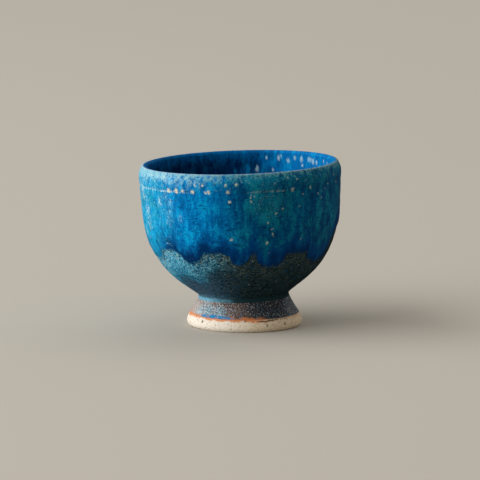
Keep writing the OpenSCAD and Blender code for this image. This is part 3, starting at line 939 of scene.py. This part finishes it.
def top_coat_finish(section, blues, darks):
    """Blue running glaze: a weave of streaks and strokes, dark where it is thick, with pale crystals."""
    nodes = Nodes.of_finish("blue top coat")
    point, side, height = bowl_frame(nodes, section.bowl)
    above = nodes.vertex_number("above_edge")
    clouds = glaze_clouds(nodes, point)
    streak, hair, stroke, patch, grain = clouds
    glaze = wall_glaze(nodes, section, clouds, point, side, height, blues)
    left = (side + patch.sway(0.5)).smooth(-0.4, -0.9)
    shadowed = side.smooth(-0.45, 0.2)
    gathered = nodes.spots(point, on_wall(section, GATHERED))
    heavy = above + streak.sway(9) + patch.sway(10) + grain.sway(5) - gathered * 2.5
    # Partly painted light: the thick, darkest glaze above the runs is weaker on the side toward the window.
    lit = (side + patch.sway(0.4)).smooth(-0.55, -0.95)
    glaze = nodes.mix(heavy.smooth(9.5, 2) * (0.85 - lit * 0.7), glaze, blues.thick)
    glaze = nodes.mix(heavy.smooth(4, 0) * (0.75 - lit * 0.6), glaze, blues.navy)
    rough = nodes.ruffled(point, 1.1, 0.9)
    cluster = nodes.spots(
        nodes.scaled(rough, (1, 1, CLUSTER_STRETCH)), on_wall(section, CLUSTERS, CLUSTER_STRETCH))
    fleck = nodes.noise(nodes.scaled(point, (1, 1, 0.5)), 1.5, 2, 0.6) + cluster * 0.13
    fleck = fleck + height.smooth(20, 40) * 0.02 + side.smooth(-0.8, -1.0) * 0.06
    fleck = fleck.smooth(0.66, 0.76) * left.or_more(cluster)
    fleck = fleck.or_more(nodes.specks(nodes.scaled(point, (1, 1, 0.7)), 1.2, 0.6)
                          * height.smooth(40, 43) * (0.5 - shadowed * 0.4))
    back = nodes.parts(point)[1].smooth(2, 9)
    sparse = nodes.flecks(rough, 0.34, 0.13, 0.3) * height.smooth(18, 25) * back
    stipple = nodes.specks(point, 1.8, 0.6) * nodes.spots(point, on_wall(section, STIPPLE))
    torn = nodes.ruffled(point, 1.8, 1.5)
    bubble = nodes.spots(torn, [(at, r * BUBBLE_SPREAD) for at, r in on_wall(section, BUBBLES)])
    crease = abs(height + hair.sway(1.2) - section.crease_z / MM - 0.15).smooth(0.5, 0.15)
    beads = crease * (grain * 0.6 + hair * 0.4).smooth(0.47, 0.57)
    light_line = beads * side.smooth(-0.4, -0.75)
    brown_line = beads * abs(side - 0.27).smooth(0.22, 0.12)
    dash = nodes.spots(nodes.scaled(nodes.ruffled(point, 0.9, 0.5), (1, 1, DASH_STRETCH)),
                       on_wall(section, DASHES, DASH_STRETCH))
    glaze = nodes.mix(dash * 0.8, glaze, blues.navy)
    pale = fleck.or_more(light_line) * (0.3 + grain * 0.8)
    pale = pale.or_more(cluster * grain.smooth(0.4, 0.65) * 0.15)
    glaze = nodes.mix(pale, glaze, blues.frosty)
    cream = (bubble * grain.smooth(0.2, 0.46)).or_more(sparse * 0.5)
    cream = cream.or_more(stipple * 0.2).or_more(brown_line * 0.5)
    glaze = nodes.mix(cream * (0.95 - shadowed * 0.4), glaze, nodes.mix(shadowed, blues.cream, darks.tan))
    below, _ = web_glaze(nodes, clouds, point, side, height, 0 - above, darks)
    worn = ((above + patch.sway(2) + grain.sway(5)) * (1 - shadowed * 0.45)).smooth(1.0, 0.1)
    glaze = nodes.mix(worn, glaze, below)
    relief = grain * 0.35 + streak * 0.4 + stroke * 0.3 + cream * 0.8 + fleck * 0.5 - crease * 0.6
    return nodes.finish(glaze, 0.36 + grain * 0.2 + cream * 0.2, relief, 0.08, GLAZE_GLOSS, GLOSS_TINT)


def base_coat_finish(section, darks, blues):
    """Dark base glaze with its web, in the blues of the wall and the liner where it shows on the lip."""
    nodes = Nodes.of_finish("dark base coat")
    point, side, height = bowl_frame(nodes, section.bowl)
    clouds = glaze_clouds(nodes, point)
    streak, hair, _, _, grain = clouds
    glaze, net = web_glaze(nodes, clouds, point, side, height, nodes.vertex_number("below_edge"), darks)
    fleck = nodes.flecks(point, 0.5, 0.13, 0.3)
    glaze = nodes.mix(fleck * 0.6, glaze, darks.frost)
    radius = nodes.from_axis(point)
    liner, _ = liner_glaze(nodes, clouds, side, height, blues)
    outside = wall_glaze(nodes, section, clouds, point, side, height, blues)
    lip = nodes.mix(radius.smooth(LIP_LINER_R, LIP_WALL_R), liner, outside)
    rim = abs(radius + grain.sway() - LIP_EDGE_R).smooth(0.36, 0.1)
    rim = rim * (hair * 0.4 + grain * 0.6).smooth(0.36, 0.54)
    lip = nodes.mix(rim * 0.45, lip, nodes.mix(side.smooth(-0.6, 0.1), blues.buff, blues.brown))
    glaze = nodes.mix(height.smooth(LIP_FROM_Z, LIP_FULL_Z), glaze, lip)
    relief = grain * 0.5 + net * 0.8 + streak * 0.4
    return nodes.finish(glaze, 0.42 + grain * 0.2, relief, 0.03, GLAZE_GLOSS, GLOSS_TINT)


def liner_finish(section, blues):
    """Blue liner: streaked down the wall, with pale flecks below the lip."""
    nodes = Nodes.of_finish("blue liner")
    point, side, height = bowl_frame(nodes, section.bowl)
    streak, hair, stroke, patch, grain = glaze_clouds(nodes, point)
    wall = height.smooth(POOL_Z, STREAKS_Z)
    streak, hair = 0.5 + streak.sway(wall), 0.5 + hair.sway(wall)
    glaze, bright = liner_glaze(nodes, (streak, hair, stroke, patch, grain), side, height, blues)
    rough = nodes.ruffled(nodes.scaled(point, (1, 1, CLUSTER_STRETCH)), 0.9, 1.1)
    spots = nodes.spots(rough, on_liner(section, FLECKS, CLUSTER_STRETCH))
    fleck = (spots * grain.smooth(0.15, 0.5)).or_more(
        nodes.flecks(rough, 0.4, 0.18, 0.2) * height.smooth(32, 38) * (0.15 + bright * 0.5))
    glaze = nodes.mix(fleck * 0.62, glaze, blues.frosty)
    relief = grain * 0.4 + streak * 0.4 + fleck * 0.8
    return nodes.finish(glaze, 0.32 + grain * 0.16, relief, 0.06, GLAZE_GLOSS, GLOSS_TINT)


def roll_finish(section, darks):
    """Glaze gathered at the neck: a painted pale blue highlight toward the window that fades to charcoal on
    the shadowed side, and painted shade where it tucks under the bowl.
    """
    nodes = Nodes.of_finish("neck roll glaze")
    point, side, height = bowl_frame(nodes, section.bowl)
    mottle = nodes.noise(point, 0.6, 3, 0.6)
    grain = nodes.noise(point, 1.8, 2)
    # Painted highlight: the neck roll colour shows only toward the window and fades to charcoal on the
    # shadowed side.
    shadowed = (side + mottle.sway(0.3)).smooth(-0.4, -0.02)
    glaze = nodes.mix(shadowed, darks.roll, darks.charcoal)
    # Painted shade where the roll tucks under the bowl: darker towards its top.
    upper = (height + grain.sway(1.2) + mottle.sway()).smooth(-1.0, 0.4) * 0.8
    glaze = nodes.mix(upper, glaze, nodes.mix(shadowed, darks.slate, darks.charcoal))
    glaze = nodes.shaded(glaze, 0.3 + grain * 1.4)
    return nodes.finish(glaze, 0.4 + grain * 0.15, grain * 0.5 + mottle * 0.5, 0.06, 0.12, GLOSS_TINT)


def skim_finish(section, darks):
    """Thin umber glaze on the foot, frosted with pale speckle. It turns to darker ash on the shadowed side,
    partly painted shade, with a painted pale highlight at its edge farthest from the window.
    """
    nodes = Nodes.of_finish("foot skim glaze")
    point = nodes.frame()
    x, _, height = nodes.parts(point)
    side = x / SKIM_R
    line = section.coats.skim_z / MM
    rough = nodes.ruffled(point, 1.5, 0.7)
    mottle = nodes.noise(point, 0.45, 3, 0.6)
    grain = nodes.noise(point, 2.4, 3, 0.65)
    left = (side + mottle.sway(0.6)).smooth(-0.05, -0.6)
    # Partly painted shade: the umber glaze turns to darker ash on the shadowed side.
    glaze = nodes.mix((side + mottle.sway(0.5)).smooth(-0.25, 0.3), darks.umber, darks.ash)
    glaze = nodes.shaded(glaze, grain.smooth(0.3, 0.62) * 1.7)
    thin = (side + mottle.sway(0.3)).smooth(-0.72, -0.98).or_more(
        (height + mottle.sway(2)).smooth(8.4, 10) * (side + mottle.sway(0.4)).smooth(-0.3, -0.8))
    glaze = nodes.mix(thin * 0.6, glaze, darks.blush)
    # Painted highlight: pale frost and extra speckle at the edge farthest from the window stand for the
    # light from the room behind.
    glaze = nodes.mix((side + mottle.sway(0.4)).smooth(0.7, 1.0) * 0.12, glaze, darks.frost)
    speckle = nodes.noise(point, 2.1, 1.5) - (1 - left) * 0.07 + side.smooth(0.6, 1.0) * 0.05
    frost = (nodes.flecks(rough, 1.4, 0.5, 0.7) * left).or_more(speckle.smooth(0.54, 0.6))
    frost = frost * mottle.smooth(0.2, 0.42)
    bloom = nodes.spots(rough, BLOOMS)
    glaze = nodes.mix(bloom * grain.smooth(0.35, 0.6) * 0.85, glaze, darks.bloom)
    glaze = nodes.mix(frost * (0.55 + left * 0.35), glaze, darks.frost)
    ember = (height + mottle.sway(2.4) + grain.sway()).smooth(line + 0.8, line + 0.2)
    glaze = nodes.mix(ember * 0.8 * side.smooth(0.55, 0.2), glaze, darks.rust)
    lake = nodes.spots(nodes.scaled(rough, (1, 1, DASH_STRETCH)), [
        ((x, y, z * DASH_STRETCH), radius) for (x, y, z), radius in LAKES])
    glaze = nodes.mix((lake * 0.9 + grain.sway(3)).smooth(0.25, 0.6), glaze, darks.lake)
    return nodes.finish(glaze, 0.55 + grain * 0.15, grain * 0.5 + frost, 0.05, 0.15)


def clay_finish(section, darks, name):
    """Bare fired clay: fine grit, an orange flash at the glaze line and a few iron specks."""
    nodes = Nodes.of_finish(name)
    point = nodes.frame()
    x, _, height = nodes.parts(point)
    side = x / CLAY_R
    line = section.coats.skim_z / MM
    grit = nodes.noise(point, 2.5, 3, 0.6)
    patch = nodes.noise(nodes.scaled(point, (1, 1, 0.4)), 0.3, 3)
    # Painted warm shade: besides its grit grains, the clay turns to the darker, warmer grit colour on the
    # shadowed side.
    clay = nodes.mix(grit.smooth(0.38, 0.66) * 0.42 + side.smooth(-0.4, 0.4) * 0.48, darks.clay, darks.grit)
    outside = nodes.from_axis(point).smooth(HOLLOW_R, OUTSIDE_R)
    flash = (height + patch.sway(2.4) + grit.sway(1.6)).smooth(line - 1.0, line - 0.4)
    flash = flash * (0.15 + outside * (0.75 - side.smooth(0.1, 0.5) * 0.6))
    clay = nodes.mix(flash, clay, darks.rust)
    scorch = abs(height + patch.sway(1.2) - line + 0.45).smooth(0.34, 0.12)
    scorch = scorch * outside * side.smooth(0.2, 0.3) * side.smooth(0.85, 0.65)
    scorch = scorch * (grit * 0.5 + patch * 0.5).smooth(0.4, 0.48)
    clay = nodes.mix(nodes.specks(point, 1.7, 0.57) * 0.5, clay, darks.crumb)
    speck = nodes.flecks(point, 0.32, 0.11, 0.35).or_more(nodes.spots(point, IRON_SPECKS))
    clay = nodes.mix(speck.or_more(scorch) * 0.85, clay, darks.iron)
    return nodes.finish(clay, 0.85, grit + patch * 0.5, 0.12, 0.2)


def floor_finish(stage, foot):
    """Plain pale floor, clear from below and under the foot's hollow, so that light reaches it."""
    nodes = Nodes.of_finish("pale floor")
    reflected = nodes.add("LightPath", out="Is Glossy Ray")
    nodes.finish(nodes.mix(reflected, stage.floor_colour, stage.floor_sheen), 0.9, gloss=0.1)
    hollow_r = (foot.heel_d / 2 - foot.heel_round - foot.rest_w) / MM
    under = nodes.from_axis(nodes.frame()).smooth(hollow_r + 0.1, hollow_r)
    clear = nodes.add("BsdfTransparent")
    open_here = nodes.add("NewGeometry", out="Backfacing").or_more(under)
    surface = Value(nodes, nodes.own("Principled BSDF").outputs[0])
    both = nodes.add("MixShader", {}, {0: open_here, 1: surface, 2: clear})
    nodes.plug(nodes.own("Material Output").inputs["Surface"], both)
    return nodes.owner


class CUP_OT_stage(bpy.types.Operator):
    """Set up the floor, the light and the camera"""

    bl_idname = "cup.stage"
    bl_label = "Stage"

    def execute(self, context):
        stage = context.scene.cup_stage
        bpy.ops.object.select_all(action="DESELECT")
        bpy.ops.mesh.primitive_plane_add(size=stage.floor_size)
        floor = context.object
        floor.name = "floor"
        floor.data.materials.append(floor_finish(stage, context.scene.cup_foot))
        self.hang_light("window", stage.key_from, stage.key_watts, stage)
        self.hang_light("back_light", stage.back_from, stage.back_watts, stage).visible_glossy = False
        self.light_room(context.scene, stage)
        bpy.ops.object.camera_add(
            location=stage.camera_at, rotation=(math.pi / 2 - stage.pitch, 0, 0))
        camera = context.object
        camera.data.lens = stage.lens
        camera.data.sensor_width = stage.sensor
        context.scene.camera = camera
        context.scene.view_settings.view_transform = "Standard"
        return {"FINISHED"}

    def hang_light(self, name, where, watts, stage):
        """A large square light that faces the cup."""
        towards = Vector(where).normalized()
        bpy.ops.object.light_add(type="AREA", location=towards * stage.key_distance)
        light = bpy.context.object
        light.name = name
        light.rotation_euler = towards.to_track_quat("Z", "Y").to_euler()
        light.data.size = stage.key_size
        light.data.energy = watts
        return light

    def light_room(self, scene, stage):
        """An even fill from all round, dim in the glazes, and a pale room past the floor's edge."""
        scene.world = bpy.data.worlds.new("room")
        nodes = Nodes(scene.world)
        fill = nodes.own("Background")
        nodes.plug(fill.inputs["Color"], stage.fill_colour)
        nodes.plug(fill.inputs["Strength"], stage.fill)
        light = Value(nodes, fill.outputs[0])
        for seen_by, colour, strength in (("Is Glossy Ray", stage.fill_colour, stage.sheen),
                                          ("Is Camera Ray", stage.room, 1)):
            seen = nodes.add("Background", {}, {"Color": colour, "Strength": strength})
            light = nodes.add("MixShader", {}, {0: nodes.add("LightPath", out=seen_by), 1: light, 2: seen})
        nodes.plug(nodes.own("World Output").inputs["Surface"], light)


class CUP_OT_bowl(bpy.types.Operator):
    """Throw the clay bowl"""

    bl_idname = "cup.bowl"
    bl_label = "Bowl"

    def execute(self, context):
        section = Section(context.scene)
        under = np.array([(0, 0), section.dressed[0]])
        piece = thrown("clay_bowl", joined(under, section.dressed, section.inner))
        set_on_foot(piece, section.bowl)
        hand_over(piece, "bowl", clay_finish(section, context.scene.cup_darks, "bowl clay"))
        return {"FINISHED"}


class CUP_OT_base_coat(bpy.types.Operator):
    """Dip the bowl in the thin dark base coat"""

    bl_idname = "cup.base_coat"
    bl_label = "Base coat"

    def execute(self, context):
        section = Section(context.scene)
        piece = thrown("base_coat", np.vstack((section.base_coat, section.dressed[::-1])), closed=True)
        rim = lower_rim(run_sheet(section))
        at = points_of(piece)
        mark(piece, "below_edge", (rim_height(rim, at) - at[:, 2]) / MM)
        make_active(piece)
        set_on_foot(piece, section.bowl)
        hand_over(piece, "base_glaze", base_coat_finish(
            section, context.scene.cup_darks, context.scene.cup_blues))
        return {"FINISHED"}


class CUP_OT_top_coat(bpy.types.Operator):
    """Dip the upper bowl in the blue top coat and let it run"""

    bl_idname = "cup.top_coat"
    bl_label = "Top coat"

    def execute(self, context):
        section = Section(context.scene)
        full = section.coats.top_run_t
        piece = run_sheet(section)
        at = points_of(piece)
        above = at[:, 2] - rim_height(lower_rim(piece), at)
        mark(piece, "above_edge", above / MM)
        weigh(piece, "thickness", section.top_coat_t(at[:, 2], above) / full)
        finish_with(piece, "SOLIDIFY", thickness=full, offset=1, vertex_group="thickness",
                    use_even_offset=False)
        set_on_foot(piece, section.bowl)
        hand_over(piece, "top_glaze", top_coat_finish(
            section, context.scene.cup_blues, context.scene.cup_darks))
        return {"FINISHED"}


class CUP_OT_liner(bpy.types.Operator):
    """Pour the liner and let it pool on the floor"""

    bl_idname = "cup.liner"
    bl_label = "Liner"

    def execute(self, context):
        section = Section(context.scene)
        piece = thrown("liner", np.vstack((section.liner_coat, section.inner[::-1])), closed=True)
        set_on_foot(piece, section.bowl)
        hand_over(piece, "liner_glaze", liner_finish(section, context.scene.cup_blues))
        return {"FINISHED"}


class CUP_OT_foot(bpy.types.Operator):
    """Turn the foot ring and cut its top to the leaning joint"""

    bl_idname = "cup.foot"
    bl_label = "Foot"

    def execute(self, context):
        section = Section(context.scene)
        foot, bowl = section.foot, section.bowl
        outside = section.foot_outside()
        hollow_r = foot.neck_d / 2 - foot.neck_wall_t
        mouth_r = outside[0, 0] - foot.rest_w
        tall = bowl.joint_z + 3 * foot.slip_t
        hollow = np.array([
            (outside[-1, 0], tall), (hollow_r, tall), (hollow_r, bowl.joint_z),
            (mouth_r - foot.chamfer, foot.chamfer), (mouth_r, 0)])
        piece = thrown("foot", np.vstack((outside, hollow)), closed=True)
        place, turn = bowl_place(bowl)
        up = turn.to_matrix() @ Vector((0, 0, 1))
        bpy.ops.object.mode_set(mode="EDIT")
        bpy.ops.mesh.select_all(action="SELECT")
        bpy.ops.mesh.bisect(plane_co=place - up * foot.slip_t, plane_no=up, use_fill=True, clear_outer=True)
        bpy.ops.object.mode_set(mode="OBJECT")
        hand_over(piece, "foot_ring", clay_finish(
            section, context.scene.cup_darks, "foot clay"))
        return {"FINISHED"}


class CUP_OT_neck_roll(bpy.types.Operator):
    """Gather the roll of glaze in the corner between bowl and foot"""

    bl_idname = "cup.neck_roll"
    bl_label = "Neck roll"

    def execute(self, context):
        section = Section(context.scene)
        foot, coats, bowl = section.foot, section.coats, section.bowl
        inside_r = foot.neck_d / 2 - foot.neck_wall_t / 2
        low = np.array((foot.neck_d / 2 + coats.roll_drop * math.tan(foot.neck_flare), -coats.roll_drop))
        lip = np.array((2 * coats.roll_t, coats.roll_drop / 6))
        hollow = section.seat_coat - np.array((3 * coats.roll_t, coats.roll_drop / 3))
        outside = curve(low, low + lip, hollow, section.seat_coat, SHORT_STEPS)
        inside = [(inside_r, 0), (inside_r, -coats.roll_drop)]
        piece = thrown("neck_roll", np.vstack((outside, inside)), closed=True)
        lean(piece, bowl)
        hand_over(piece, "neck_glaze_roll", roll_finish(section, context.scene.cup_darks))
        return {"FINISHED"}


class CUP_OT_foot_skim(bpy.types.Operator):
    """Leave the thin skim of glaze on the foot"""

    bl_idname = "cup.foot_skim"
    bl_label = "Foot skim"

    def execute(self, context):
        section = Section(context.scene)
        coats = section.coats
        outside = section.foot_outside(coats.skim_t)
        inside = section.foot_outside()
        top = section.bowl.joint_z - coats.roll_drop / 2
        keep = (outside[:, 1] >= coats.skim_z) & (outside[:, 1] <= top)
        piece = thrown("foot_skim", np.vstack((outside[keep], inside[keep][::-1])), closed=True)
        hand_over(piece, "foot_glaze",
                  skim_finish(section, context.scene.cup_darks))
        return {"FINISHED"}


class CUP_OT_slip(bpy.types.Operator):
    """Finish the slip in the joint, which shows only inside the foot"""

    bl_idname = "cup.slip"
    bl_label = "Joint slip"

    def execute(self, context):
        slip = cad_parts["joint_slip"]
        slip.data.materials.clear()
        slip.data.materials.append(clay_finish(Section(context.scene), context.scene.cup_darks, "slip clay"))
        return {"FINISHED"}


class CUP_PT_panel(bpy.types.Panel):
    """Lists the cup's pieces and sizes"""

    bl_idname = "CUP_PT_panel"
    bl_label = "Guinomi"
    bl_space_type = "VIEW_3D"
    bl_region_type = "UI"
    bl_category = "Guinomi"

    def draw(self, context):
        for step in STEPS:
            self.layout.operator(step.bl_idname)
        for name, group in GROUPS.items():
            box = self.layout.box()
            box.label(text=group.__doc__)
            for setting in group.__annotations__:
                box.prop(getattr(context.scene, name), setting)


GROUPS = {"cup_bowl": CupBowl, "cup_foot": CupFoot, "cup_coats": CupCoats, "cup_blues": CupBlues,
          "cup_darks": CupDarks, "cup_stage": CupStage}
STEPS = (CUP_OT_stage, CUP_OT_bowl, CUP_OT_base_coat, CUP_OT_top_coat, CUP_OT_liner, CUP_OT_foot,
         CUP_OT_neck_roll, CUP_OT_foot_skim, CUP_OT_slip)


def register():
    """Add the classes and the scene's settings."""
    for cls in (*GROUPS.values(), *STEPS, CUP_PT_panel):
        bpy.utils.register_class(cls)
    for name, group in GROUPS.items():
        setattr(bpy.types.Scene, name, bpy.props.PointerProperty(type=group))


def unregister():
    """Take them away again."""
    for name in GROUPS:
        delattr(bpy.types.Scene, name)
    for cls in reversed((*GROUPS.values(), *STEPS, CUP_PT_panel)):
        bpy.utils.unregister_class(cls)


def main():
    """Make every piece in order."""
    register()
    for step in STEPS:
        group, name = step.bl_idname.split(".")
        getattr(getattr(bpy.ops, group), name)()


if __name__ == "__main__":
    main()
